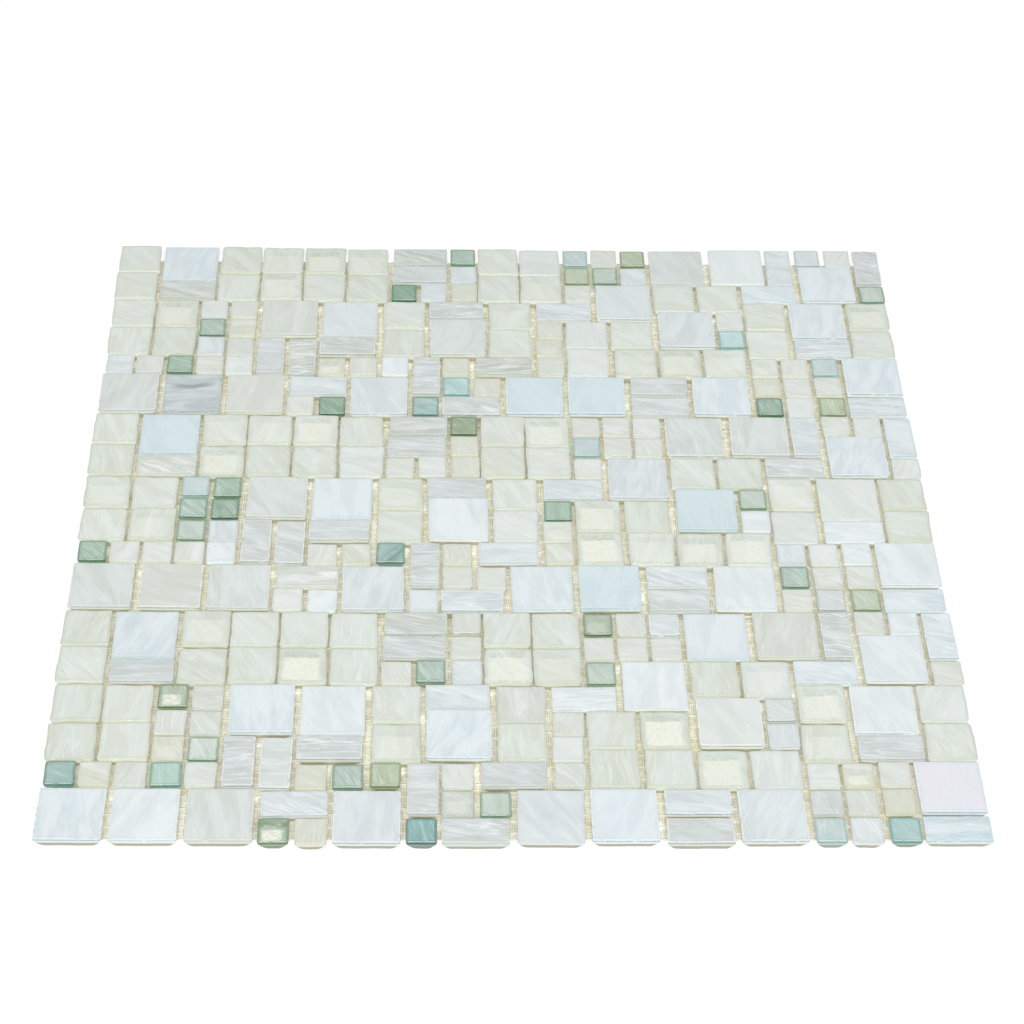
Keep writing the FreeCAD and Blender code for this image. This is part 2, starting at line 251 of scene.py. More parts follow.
# Clear chips that show the cream glue under their backs as a window, plainly and faintly
CLEAR_WINDOWS = {
    "rear": [(5, 1.5), (1.5, 3), (6.5, 0), (25, 3), (7, 6), (18.5, 5.5)],
    "middle": [(14, 0), (15.3, 4), (15.3, 5.5), (3.5, 1.5), (18.5, 5.5), (20, 5.5), (6.5, 0)],
    "front": [(6.5, 1.5), (12.5, 1.5), (16.88, 4), (18.5, 5.5), (21.5, 3), (3, 3), (6.06, 8),
              (22.5, 6)],
}
FAINT_WINDOWS = {
    "rear": [(20, 5.5), (16.88, 5.5), (12.66, 3), (14.27, 5), (21.5, 6), (21.5, 7), (8, 0), (5, 0),
             (14, 1.5)],
    "middle": [(3.5, 0), (0, 3), (1.5, 4.5), (21.5, 3), (16.88, 5.5), (22.5, 7), (5, 0),
               (14.27, 5), (9.08, 3)],
    "front": [(21.5, 4.5), (9.08, 4.5), (3, 5), (14, 1.5), (20, 2), (11.14, 7), (3.5, 0), (15.5, 0)],
}

# Chips with a strong painted shade line along the foot of their front edge, and a strong painted
# highlight on the edge above it
GLINT_AND_SHADE_LINE_CHIPS = {
    "rear": [(18.5, 3.5), (23, 3), (19.38, 7), (24.5, 6), (16.5, 2), (13.15, 7), (15.17, 7),
             (7, 5), (11.14, 8)],
    "middle": [(23.5, 1), (18.5, 0), (20.5, 0), (5, 5), (6, 5), (11.14, 8), (2, 7)],
    "front": [(18.5, 3.5), (23, 3), (15.17, 7), (24.5, 6), (19.38, 7), (0, 7), (6, 5), (5, 5),
              (25.5, 0), (17.5, 0), (17.3, 7), (17.3, 8), (8.08, 7), (4, 5)],
}
print("glasses:", len(GLASSES))

# %% [markdown]
# ## What makes each chip its own
# No two chips of a sheet are alike: each has its own shade, its own run of streaks, slightly
# wavy sides and a top that leans a little. A random generator that is seeded by the chip's
# address gives every chip the same character on every run.

# %% Give each chip its character
NEAR = 0.22


def is_listed(chip, places):
    """Say whether a chip's address is in a list of addresses."""
    left, back = chip["place"]
    return any(abs(left - x) < NEAR and abs(back - y) < NEAR for x, y in places)


def linear(colour):
    """Turn a colour written from 0 to 255 into the linear values that shaders use."""
    share = np.array(colour, float) / 255
    return np.where(share <= 0.04045, share / 12.92, ((share + 0.055) / 1.055) ** 2.4)


# How much darker or lighter each course is painted against the palette, as painted shade that evens out
# the stronger lamp light on the front
COURSE_PAINTED_SHADE = {"rear": 1.004, "middle": 0.98, "front": 0.955}
# Streaks of each kind of chip: how strong, and the usual angle and its spread in degrees
STREAKS = {
    "large_pearl_chips": (0.3, 85, 30), "large_blue_chips": (0.12, 80, 30),
    "medium_green_chips": (0.4, 60, 50), "pearl_strips": (0.85, 12, 16),
    "small_white_chips": (0.5, 60, 60), "small_cream_chips": (0.42, 60, 60),
    "small_green_chips": (0.3, 55, 40), "small_teal_chips": (0.3, 55, 40),
}

# Share of each kind of chip that has a fold of paler glass
FOLDED = {
    "large_pearl_chips": 0.15, "large_blue_chips": 0.0, "medium_green_chips": 0.25,
    "pearl_strips": 0.35, "small_white_chips": 0.25, "small_cream_chips": 0.15,
    "small_green_chips": 0.0, "small_teal_chips": 0.0,
}
# Radius of the corners of each kind of chip, least and most, in millimetres
CORNERS = {
    "large_pearl_chips": (0.3, 0.6), "large_blue_chips": (0.3, 0.5),
    "medium_green_chips": (0.5, 1.3), "pearl_strips": (0.3, 0.6),
    "small_white_chips": (0.4, 1.0), "small_cream_chips": (0.4, 1.0),
    "small_green_chips": (0.55, 0.9), "small_teal_chips": (0.55, 0.9),
}


# Chips with a darker stain of their edge colour: its middle across and along the chip's
# streaks in millimetres, its strength, and the angle of the streaks in degrees
STAINED_CHIPS = {
    "rear": {(2, 7): (0.0, 4.0, 1.0, -4), (11.14, 7): (0.0, 0.5, 0.3, 52)},
    "middle": {(9.08, 6): (-1.5, -1.5, 0.7, -55), (2, 7): (3.0, 2.0, 0.25, 20)},
    "front": {(6.06, 8): (0.0, 3.0, 0.7, 0), (12.2, 6): (2.0, 0.0, 0.3, 30)},
}


# Painted shade line under the front edge of each kind of chip, with the painted highlight on that edge,
# least and most
SHADE_LINE_AND_GLINT = {
    "large_pearl_chips": (0.3, 0.8), "large_blue_chips": (0.3, 0.7),
    "medium_green_chips": (0.0, 0.35), "pearl_strips": (0.3, 0.8),
    "small_white_chips": (0.1, 0.5), "small_cream_chips": (0.0, 0.3),
    "small_green_chips": (1.0, 1.0), "small_teal_chips": (1.0, 1.0),
}
# How far the pressed sides of each kind of chip swell past the straight block
BULGES = {
    "large_pearl_chips": 0.06, "large_blue_chips": 0.06, "medium_green_chips": 0.18,
    "pearl_strips": 0.06, "small_white_chips": 0.08, "small_cream_chips": 0.08,
    "small_green_chips": -0.08, "small_teal_chips": -0.08,
}
# How far the sides of each kind of chip wander from straight, in millimetres
WOBBLE = {
    "large_pearl_chips": 0.05, "large_blue_chips": 0.04, "medium_green_chips": 0.18,
    "pearl_strips": 0.07, "small_white_chips": 0.11, "small_cream_chips": 0.11,
    "small_green_chips": 0.06, "small_teal_chips": 0.06,
}


def give_character(family, chip):
    """Choose the glass, shade, streaks, window, painted shade line and painted highlight of one chip."""
    left, back = chip["place"]
    course = chip["course"]
    rng = random.Random(f"{course} {left:.1f} {back:.1f}")
    glass = COMMON_GLASS[family]
    if family == "medium_green_chips" and rng.random() < 0.4:
        glass = "milky green"
    for name, places in OWN_GLASS[course].items():
        if is_listed(chip, places):
            glass = name
    body, edge = GLASSES[glass]
    # The course factor is painted shade against the lamp; the random factor is the chip's own tone
    light = COURSE_PAINTED_SHADE[course] * rng.uniform(0.985, 1.015)
    stain = (rng.uniform(-5, 5), rng.uniform(-6, 6), 0.0)
    if family == "large_pearl_chips" and rng.random() < 0.4:
        stain = (stain[0], stain[1], rng.uniform(0.1, 0.3))
    accent = family in ("small_green_chips", "small_teal_chips")
    strength, angle, spread = STREAKS[family]
    angle += rng.uniform(-spread, spread)
    for address, (across, along, deep, turn) in STAINED_CHIPS[course].items():
        if is_listed(chip, [address]):
            stain, angle = (across, along, deep), turn
    if is_listed(chip, CLEAR_WINDOWS[course]):
        window = 1.0 if rng.random() < 0.35 else 0.7
    elif is_listed(chip, FAINT_WINDOWS[course]):
        window = 0.34
    else:
        window = 0.0
    chip.update(
        rng=rng, glass=glass, window=window,
        body=np.minimum(linear(body) * light, 0.88), edge=linear(edge) * light,
        streak=strength * rng.uniform(0.5, 1.3),
        angle=math.radians(angle), stain=stain,
        fold=rng.uniform(0.4, 1.0) if rng.random() < FOLDED[family] else 0.0,
        # line: share of the painted shade line under the top edge and of the painted highlight along it
        line=1.0 if accent or is_listed(chip, GLINT_AND_SHADE_LINE_CHIPS[course]) else rng.uniform(*SHADE_LINE_AND_GLINT[family]),
        corner=rng.uniform(*CORNERS[family]), wobble=WOBBLE[family],
        bulge=BULGES[family],
        pearl=1.0 if glass == "iridescent" else 0.0)


def family_of(node):
    """Return a node's name without its course."""
    return node.rsplit("_", 1)[0]


for node, chips in chips_of.items():
    for chip in chips:
        give_character(family_of(node), chip)
used = sorted({chip["glass"] for chips in chips_of.values() for chip in chips})
print("glasses used:", len(used), "of", len(GLASSES))

# %% [markdown]
# ## The shape of a chip
# A chip could be a box with a bevel modifier, but a pressed chip has rounded corners that
# open out towards the back, a soft edge round its top and a drafted foot. It is easier to
# draw it as a stack of outlines: one rounded rectangle for each level, joined by strips of
# four-sided faces, with a grid of faces closing the top and the back.
#
# The stations along a side bunch up in the corners, so the same few points give a round
# corner and a flat side. A slow wave bends the whole chip a little, as hand-cut glass is.

# %% Draw rounded outlines
CORNER_TURNS = (0.0, 15.0, 30.0, 45.0)
SEGMENTS = {1.0: 3, 1.5: 5, 2.0: 7}


def stations(half, radius, segments):
    """Place points along one side, bunched in the rounded corners at both ends."""
    bunched = [radius * math.tan(math.radians(turn)) for turn in CORNER_TURNS]
    start = [-half + radius - step for step in reversed(bunched)]
    flat = list(np.linspace(-half + radius, half - radius, segments + 1))
    return np.array(start[:-1] + flat + [half - radius + step for step in bunched[1:]])


def round_corners(points, half, radius):
    """Move the points of a rectangle onto one with rounded corners."""
    core = np.clip(points, -(half - radius), half - radius)
    away = points - core
    reach = np.abs(away).max(axis=1)
    length = np.linalg.norm(away, axis=1)
    scale = np.where(length > 0, reach / np.maximum(length, 1e-9), 1)
    return core + away * scale[:, None]


def plate(half, radius, segments):
    """Return the points of a grid that fills a rounded rectangle, row by row."""
    across = stations(half[0], radius, segments[0])
    along = stations(half[1], radius, segments[1])
    grid = np.array([(x, y) for y in along for x in across])
    return round_corners(grid, np.array(half), radius)


def rim_order(columns, rows):
    """Return the numbers of a grid's outer points, anticlockwise from the first corner."""
    front = [i for i in range(columns)]
    right = [columns * j + columns - 1 for j in range(1, rows)]
    rear = [columns * (rows - 1) + i for i in range(columns - 2, -1, -1)]
    left = [columns * j for j in range(rows - 2, 0, -1)]
    return np.array(front + right + rear + left)


print("points round a small corner:", 2 * len(CORNER_TURNS) - 1)

# %% Shape one chip
# Each level of a chip from its top plate to its back plate: how far it is set in from the
# widest outline and how high it lies above the back, in millimetres
PROFILE = [(0.28, 5.0), (0.12, 4.96), (0.03, 4.87), (0.0, 4.72), (0.03, 4.0), (0.12, 3.4),
           (0.38, 2.75), (1.2, 0.8), (1.5, 0.3), (1.75, 0.06), (2.1, 0.0)]
CHIP_HEIGHT = 5.0


def chip_mesh(chip):
    """Return the points of a chip about its own centre, and its faces."""
    half = chip["half"] + chip["bulge"]
    segments = [SEGMENTS[min(2.0, max(1.0, round(4 * side / PITCH) / 2))] for side in half]
    columns, rows = (count + 2 * len(CORNER_TURNS) - 1 for count in segments)
    levels = []
    for inset, height in PROFILE:
        outline = plate(half - inset, chip["corner"] + 0.75 * inset, segments)
        levels.append(np.column_stack([outline, np.full(len(outline), height)]))
    ring = rim_order(columns, rows)
    points = [levels[0]] + [level[ring] for level in levels[1:-1]] + [levels[-1]]
    starts = np.cumsum([0] + [len(part) for part in points])
    grid = np.arange(columns * rows).reshape(rows, columns)
    top = np.stack([grid[:-1, :-1], grid[:-1, 1:], grid[1:, 1:], grid[1:, :-1]], axis=-1).reshape(-1, 4)
    faces = [top]
    upper = ring
    for number in range(1, len(points)):
        lower = starts[number] + (np.arange(len(ring)) if number < len(points) - 1 else ring)
        faces.append(np.stack([upper, lower, np.roll(lower, -1), np.roll(upper, -1)], axis=-1))
        upper = lower
    faces.append(top[:, ::-1] + starts[-2])
    return np.vstack(points), np.vstack(faces)


def wave(rng, along, size, length):
    """Return a slow random wave of two sines along one way."""
    first, second = rng.uniform(0, math.tau), rng.uniform(0, math.tau)
    slow = np.sin(math.tau * along / length + first)
    quick = np.sin(math.tau * along / (0.43 * length) + second)
    return size * (0.7 * slow + 0.3 * quick)


def bend_chip(chip, points):
    """Give a chip wavy sides, a slightly skewed outline and a top that isn't quite level."""
    rng = chip["rng"]
    bent = points.copy()
    size = chip["wobble"]
    bent[:, 0] += wave(rng, points[:, 1], size, 11.0) + wave(rng, points[:, 2], 0.05, 6.0)
    bent[:, 1] += wave(rng, points[:, 0], size, 11.0) + wave(rng, points[:, 2], 0.05, 6.0)
    skew, taper = rng.uniform(-0.1, 0.1) * size, rng.uniform(-0.02, 0.02) * size
    bent[:, 0] += skew * points[:, 1] + taper * points[:, 0] * points[:, 1]
    high = np.clip(points[:, 2] / CHIP_HEIGHT, 0, 1) ** 3
    lean = [rng.uniform(-0.006, 0.006) for _ in range(2)]
    relief = wave(rng, points[:, 0] + 0.6 * points[:, 1], 0.02, 9.0)
    relief += wave(rng, points[:, 1] - 0.5 * points[:, 0], 0.02, 7.0)
    bent[:, 2] += high * (lean[0] * points[:, 0] + lean[1] * points[:, 1] + relief - 0.02)
    return bent


sample_points, sample_faces = chip_mesh(chips_of["large_pearl_chips_rear"][0])
print("a large chip has", len(sample_points), "points and", 2 * len(sample_faces), "triangles")

# %% [markdown]
# ## Joining the chips of a node
# All chips of a node become one mesh, which stands for that node in every picture. The
# shaders need to know where on its own chip each point lies, so this is stored with the
# points as attributes: the place on the chip, the chip's half sizes with its seed, its
# colours, and how strong its marks are.

# %% Build a mesh with attributes
def mesh_piece(name, points, faces, attributes):
    """Make a smooth mesh object of four-sided faces, with values stored at its points."""
    mesh = bpy.data.meshes.new(name)
    mesh.vertices.add(len(points))
    mesh.vertices.foreach_set("co", (points * MM).astype(np.float32).ravel())
    mesh.loops.add(4 * len(faces))
    mesh.loops.foreach_set("vertex_index", faces.astype(np.int32).ravel())
    mesh.polygons.add(len(faces))
    mesh.polygons.foreach_set("loop_start", np.arange(0, 4 * len(faces), 4, dtype=np.int32))
    mesh.update(calc_edges=True)
    mesh.shade_smooth()
    for key, values in attributes.items():
        wide = values.shape[1] == 4
        made = mesh.attributes.new(key, "FLOAT_COLOR" if wide else "FLOAT_VECTOR", "POINT")
        made.data.foreach_set("color" if wide else "vector", values.astype(np.float32).ravel())
    piece = bpy.data.objects.new(name, mesh)
    bpy.context.scene.collection.objects.link(piece)
    return piece


def opaque(colour, count):
    """Repeat a colour for a number of points."""
    return np.tile(np.append(colour, 1.0), (count, 1))


def chips_piece(node, chips):
    """Build all chips of a node as one mesh."""
    parts = {key: [] for key in ("points", "faces", "chip_place", "chip_half", "chip_marks",
                                 "chip_runs", "chip_stain", "glass_body", "glass_edge")}
    first = 0
    for chip in chips:
        points, faces = chip_mesh(chip)
        bent = bend_chip(chip, points)
        cosine, sine = math.cos(chip["turn"]), math.sin(chip["turn"])
        turned = bent[:, :2] @ np.array([[cosine, sine], [-sine, cosine]])
        placed = np.column_stack([turned + chip["centre"], bent[:, 2] + chip["low"]])
        count = len(points)
        seed = chip["rng"].uniform(0, 40)
        parts["points"].append(placed)
        parts["faces"].append(faces + first)
        parts["chip_place"].append(points)
        parts["chip_half"].append(np.tile([*chip["half"], seed], (count, 1)))
        # chip_marks holds the streak share, the window share, and the share of painted shade line and
        # highlight
        parts["chip_marks"].append(np.tile([chip["streak"], chip["window"], chip["line"]], (count, 1)))
        parts["chip_runs"].append(np.tile([chip["angle"], chip["fold"], chip["pearl"]], (count, 1)))
        parts["chip_stain"].append(np.tile(chip["stain"], (count, 1)))
        parts["glass_body"].append(opaque(chip["body"], count))
        parts["glass_edge"].append(opaque(chip["edge"], count))
        first += count
    whole = {key: np.vstack(values) for key, values in parts.items()}
    piece = mesh_piece("cast_" + node, whole.pop("points"), whole.pop("faces"), whole)
    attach(piece, "root")
    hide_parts(node)
    return piece


pieces = {node: chips_piece(node, chips) for node, chips in chips_of.items()}
print("triangles in chips:", sum(2 * len(piece.data.polygons) for piece in pieces.values()))

# %% [markdown]
# ## Weaving the net
# The CAD net is two layers of straight flat yarns. In the real cloth each yarn goes over one
# crossing yarn and under the next. The crossings are known from the frame, so each yarn is
# drawn as a flat tube with one ring of points at every crossing, in turn high and low. Woven
# this way the two layers take no more height than before.

# %% Say which crossings are white
# Crossings of joints where glue and yarn are painted white and glow more strongly, in pitches, the same
# in each course
WHITE_CROSSINGS = [
    (3, 4), (4, 3), (4, 4), (5, 3), (7, 3), (6, 5), (9.04, 3), (10.62, 3), (12.66, 3), (14.2, 3),
    (14.2, 4), (10.62, 4), (16.4, 2), (20.5, 3.5), (21.5, 3), (23, 3), (1, 6), (4, 6), (8, 6),
    (9.04, 6), (10.1, 6), (11.13, 6), (12.17, 6), (14.2, 6), (2, 7), (6.03, 7), (11.13, 8),
    (17.3, 8), (22.45, 7), (22.45, 8), (23.45, 6), (23.45, 8),
]


def whiteness(x, y):
    """Return how white the glue and yarn are painted at points, and how much more they glow: full in a
    blob, fading over half a millimetre.
    """
    across = x / PITCH + SHEET_PITCHES[0] / 2
    back = (SHEET_PITCHES[1] / 2 - y / PITCH) % COURSE_DEPTH
    white = np.zeros(np.shape(x))
    for a, b in WHITE_CROSSINGS:
        length = 0.13 + 0.07 * math.sin(9 * a + 5 * b)
        far = np.hypot((across - a) / 0.09, (back - b) / length)
        white = np.maximum(white, np.clip(1.35 - far, 0, 1))
    return white


print("white crossings of joints:", len(WHITE_CROSSINGS), "in each course")

# %% Read the yarns and weave them
YARN_RING = 4
WEAVE_RISE = 0.11
YARN_THICK = 0.25


def read_yarns(prefix, way):
    """Return the middle line of each yarn of a net layer: node, place across and two ends."""
    yarns = []
    for node in sorted(frame["nodes"]):
        if node.startswith(prefix):
            for corners in solids_of(node):
                low, high = corners.min(axis=0), corners.max(axis=0)
                yarns.append({"node": node, "at": (low[1 - way] + high[1 - way]) / 2,
                              "ends": (low[way], high[way]), "width": high[1 - way] - low[1 - way]})
    return sorted(yarns, key=lambda yarn: yarn["at"])


WEFTS = read_yarns("net_weft", 0)
WARPS = read_yarns("net_warp", 1)
NET_LEVEL = YARN_THICK


def woven_yarn(yarn, number, crossings, way, rng):
    """Return the points and faces of one yarn that passes over and under the crossings."""
    stops = [yarn["ends"][0]] + [other["at"] for other in crossings] + [yarn["ends"][1]]
    sign = np.array([(-1) ** (number + i) for i in range(len(stops))], float)
    sign *= -1 if way == 1 else 1
    along = np.array(stops)
    across = yarn["at"] + wave(rng, along, 0.07, 41.0)
    height = NET_LEVEL + WEAVE_RISE * sign
    turns = np.linspace(0, math.tau, YARN_RING, endpoint=False)
    wide = yarn["width"] / 2 * (1 + wave(rng, along, 0.10, 13.0))
    ring_across = across[:, None] + wide[:, None] * np.cos(turns)
    ring_height = height[:, None] + 0.52 * YARN_THICK * np.sin(turns)
    ring_height = np.clip(ring_height, 0.0, 2 * NET_LEVEL)
    ring_along = np.repeat(along[:, None], YARN_RING, axis=1)
    order = [ring_along, ring_across] if way == 0 else [ring_across, ring_along]
    points = np.stack(order + [ring_height], axis=-1).reshape(-1, 3)
    base = np.arange(len(stops) - 1)[:, None] * YARN_RING
    step = np.arange(YARN_RING)[None, :]
    following = (step + 1) % YARN_RING
    faces = np.stack([base + step, base + following, base + following + YARN_RING,
                      base + step + YARN_RING], axis=-1).reshape(-1, 4)
    if way == 0:
        faces = faces[:, ::-1]
    last = (len(stops) - 1) * YARN_RING
    ends = np.array([[0, 1, 2, 3], [last + 3, last + 2, last + 1, last]])
    caps = ends if way == 0 else ends[:, ::-1]
    return points, np.vstack([faces, caps])


def net_piece(node, yarns, crossings, way):
    """Build the yarns of one net node as one mesh."""
    points, faces, places = [], [], []
    first = 0
    for number, yarn in enumerate(yarns):
        if yarn["node"] != node:
            continue
        rng = random.Random(f"{node} {number}")
        ring_points, ring_faces = woven_yarn(yarn, number, crossings, way, rng)
        points.append(ring_points)
        faces.append(ring_faces + first)
        along = ring_points[:, way] - ring_points[:, way].min() + 17.3 * number
        across = ring_points[:, 1 - way] - yarn["at"]
        white_glow_blob = whiteness(ring_points[:, 0], ring_points[:, 1])
        places.append(np.column_stack([along, across, white_glow_blob]))
        first += len(ring_points)
    piece = mesh_piece("woven_" + node, np.vstack(points), np.vstack(faces),
                       {"yarn_place": np.vstack(places)})
    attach(piece, "root")
    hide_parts(node)
    return piece


net_pieces = []
for node in sorted(frame["nodes"]):
    if node.startswith("net_weft"):
        net_pieces.append(net_piece(node, WEFTS, WARPS, 0))
    elif node.startswith("net_warp"):
        net_pieces.append(net_piece(node, WARPS, WEFTS, 1))
print("triangles in the net:", sum(2 * len(piece.data.polygons) for piece in net_pieces))

# %% [markdown]
# ## The dried glue
# The glue that holds the chips was rolled onto the net as a liquid. It dried to a cream film
# in the meshes of the net, hollow between the yarns, and it climbs a little up the foot of
# each chip. It has no shape of its own in CAD, because it is a skin.
#
# A grid with two squares to each mesh of the net gives the film a point on every yarn and a
# point in every hollow. Patches under the chips that the glue missed are left out. At some
# crossings of joints the glue and yarn are painted white, in blobs with soft edges, and glow
# more strongly there as painted light.

# %% Lay the glue film
BACK_INSET = 1.5
FILLET_RISE = 0.7


def lattice(yarns, low, high):
    """Return grid lines on every yarn and halfway between, from a low to a high edge."""
    lines = [yarn["at"] for yarn in yarns]
    halves = [(a + b) / 2 for a, b in zip(lines, lines[1:])]
    return np.array(sorted([low] + lines + halves + [high]))


film_x = lattice(WARPS, WEFTS[0]["ends"][0] + 0.1, WEFTS[0]["ends"][1] - 0.1)
film_y = lattice(WEFTS, WARPS[0]["ends"][0] + 0.1, WARPS[0]["ends"][1] - 0.1)
grid_x, grid_y = np.meshgrid(film_x, film_y)

# How deep each grid point lies under the nearest chip's back, negative outside it
under = np.full(grid_x.shape, -9.0)
for chips in chips_of.values():
    for chip in chips:
        x, y = chip["centre"]
        inside = np.minimum(chip["half"][0] - BACK_INSET - np.abs(grid_x - x),
                            chip["half"][1] - BACK_INSET - np.abs(grid_y - y))
        under = np.maximum(under, inside)

noise = np.random.default_rng(7)
fillet = np.exp(-np.maximum(-under, 0) / 0.5) * FILLET_RISE * noise.uniform(0.5, 1.0, under.shape)
on_weft = np.isin(grid_y, [yarn["at"] for yarn in WEFTS])
on_warp = np.isin(grid_x, [yarn["at"] for yarn in WARPS])
top = 0.18 + 0.10 * (on_weft | on_warp) + noise.uniform(-0.02, 0.02, under.shape)
top = np.where(under > 0, 2 * NET_LEVEL - 0.01, np.maximum(top, top + fillet - 0.1))
bottom = 0.145 - 0.035 * (on_weft | on_warp) + noise.uniform(-0.01, 0.01, under.shape)
print("glue grid:", grid_x.shape, "points")


# %% Leave the bare patches out and close the film
def glue_cover():
    """Mark the squares of the grid that hold glue."""
    rows, columns = len(film_y) - 1, len(film_x) - 1
    cover = np.ones((rows, columns), bool)
    patch = np.random.default_rng(21).normal(size=(rows // 8 + 3, columns // 8 + 3))
    for j in range(1, rows - 1, 2):
        for i in range(1, columns - 1, 2):
            u, v = i / 8, j / 8
            a, b = int(u), int(v)
            s, t = u - a, v - b
            level = ((1 - t) * ((1 - s) * patch[b, a] + s * patch[b, a + 1])
                     + t * ((1 - s) * patch[b + 1, a] + s * patch[b + 1, a + 1]))
            if under[j + 1, i + 1] > 1.2 and level > 0.25:
                cover[j:j + 2, i:i + 2] = False
    return cover


def film_piece(name, rows):
    """Build one part of the film as a closed skin: its top, its underside and its edges."""
    columns = len(film_x)
    count = columns * len(film_y)
    upper = np.column_stack([grid_x.ravel(), grid_y.ravel(), top.ravel()])
    lower = np.column_stack([grid_x.ravel(), grid_y.ravel(), bottom.ravel()])
    faces = []
    for j in rows:
        for i in range(columns - 1):
            if not cover[j, i]:
                continue
            a = j * columns + i
            corners = [a, a + 1, a + 1 + columns, a + columns]
            faces.append(corners)
            faces.append([corner + count for corner in reversed(corners)])
            beside = [(j - 1, i, 0), (j, i + 1, 1), (j + 1, i, 2), (j, i - 1, 3)]
            for row, column, side in beside:
                inside = row in rows and 0 <= column < columns - 1 and cover[row, column]
                if not inside:
                    p, q = corners[side], corners[(side + 1) % 4]
                    faces.append([q, p, p + count, q + count])
    faces = np.array(faces)
    kept, numbers = np.unique(faces, return_inverse=True)
    points = np.vstack([upper, lower])[kept]
    white = np.tile(white_glow_blob.ravel(), 2)[kept]
    below = np.repeat([0.0, 1.0], count)[kept]
    piece = mesh_piece(name, points, numbers.reshape(-1, 4),
                       {"glue_marks": np.column_stack([white, below, below])})
    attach(piece, "root")
    return piece


cover = glue_cover()
white_glow_blob = whiteness(grid_x, grid_y)
film_rows = len(film_y) - 1
thirds = [range(k * film_rows // 3, (k + 1) * film_rows // 3) for k in range(3)]
film_pieces = [film_piece("glue_film_" + name, part)
               for name, part in zip(reversed(COURSES), thirds)]
print("triangles in the glue:", sum(2 * len(piece.data.polygons) for piece in film_pieces))

# %% [markdown]
# ## Shader helpers
# A material is a tree of nodes. Writing each node and each link in full would bury the idea,
# so three helpers keep it short: one adds a node and fills or links its inputs, one makes a
# node group with named sockets, and a few make the common sums.

# %% Helpers for node trees
def add(tree, kind, inputs=None, **settings):
    """Add a node, set its properties, and fill each input with a value or a link."""
    made = tree.nodes.new("ShaderNode" + kind)
    for key, value in settings.items():
        setattr(made, key, value)
    for key, value in (inputs or {}).items():
        if isinstance(value, bpy.types.NodeSocket):
            tree.links.new(value, made.inputs[key])
        else:
            made.inputs[key].default_value = value
    return made


def maths(tree, operation, a, b=0.0, clamp=False):
    """Return the result of a sum of two values."""
    return add(tree, "Math", {0: a, 1: b}, operation=operation, use_clamp=clamp).outputs[0]


def product(tree, *values):
    """Return the product of several values."""
    result = values[0]
    for value in values[1:]:
        result = maths(tree, "MULTIPLY", result, value)
    return result


def ramp(tree, value, start, end, low=0.0, high=1.0):
    """Return a smooth step from low to high as a value goes from start to end."""
    made = add(tree, "MapRange", {"Value": value, "From Min": start, "From Max": end,
                                  "To Min": low, "To Max": high}, interpolation_type="SMOOTHSTEP")
    return made.outputs["Result"]


def blend(tree, factor, a, b, mode="MIX"):
    """Return a mix of two colours."""
    made = tree.nodes.new("ShaderNodeMix")
    made.data_type = "RGBA"
    made.blend_type = mode
    for socket, value in ((made.inputs[0], factor), (made.inputs[6], a), (made.inputs[7], b)):
        if isinstance(value, bpy.types.NodeSocket):
            tree.links.new(value, socket)
        else:
            socket.default_value = value
    return made.outputs[2]


def axes(tree, vector):
    """Return the three parts of a vector."""
    return add(tree, "SeparateXYZ", {0: vector}).outputs


def group(name, inputs, outputs):
    """Start a node group with named sockets and return its tree, inputs and output node."""
    tree = bpy.data.node_groups.new(name, "ShaderNodeTree")
    for socket, kind in inputs.items():
        tree.interface.new_socket(socket, in_out="INPUT", socket_type="NodeSocket" + kind)
    for socket, kind in outputs.items():
        tree.interface.new_socket(socket, in_out="OUTPUT", socket_type="NodeSocket" + kind)
    return tree, tree.nodes.new("NodeGroupInput").outputs, tree.nodes.new("NodeGroupOutput")


def finish_group(tree, end, results):
    """Link a group's results to its output node."""
    for socket, value in results.items():
        tree.links.new(value, end.inputs[socket])
    return tree


def use(tree, shared, inputs):
    """Place a node group in a tree and return its outputs."""
    made = tree.nodes.new("ShaderNodeGroup")
    made.node_tree = shared
    for key, value in inputs.items():
        if isinstance(value, bpy.types.NodeSocket):
            tree.links.new(value, made.inputs[key])
        else:
            made.inputs[key].default_value = value
    return made.outputs


print("helpers are ready")
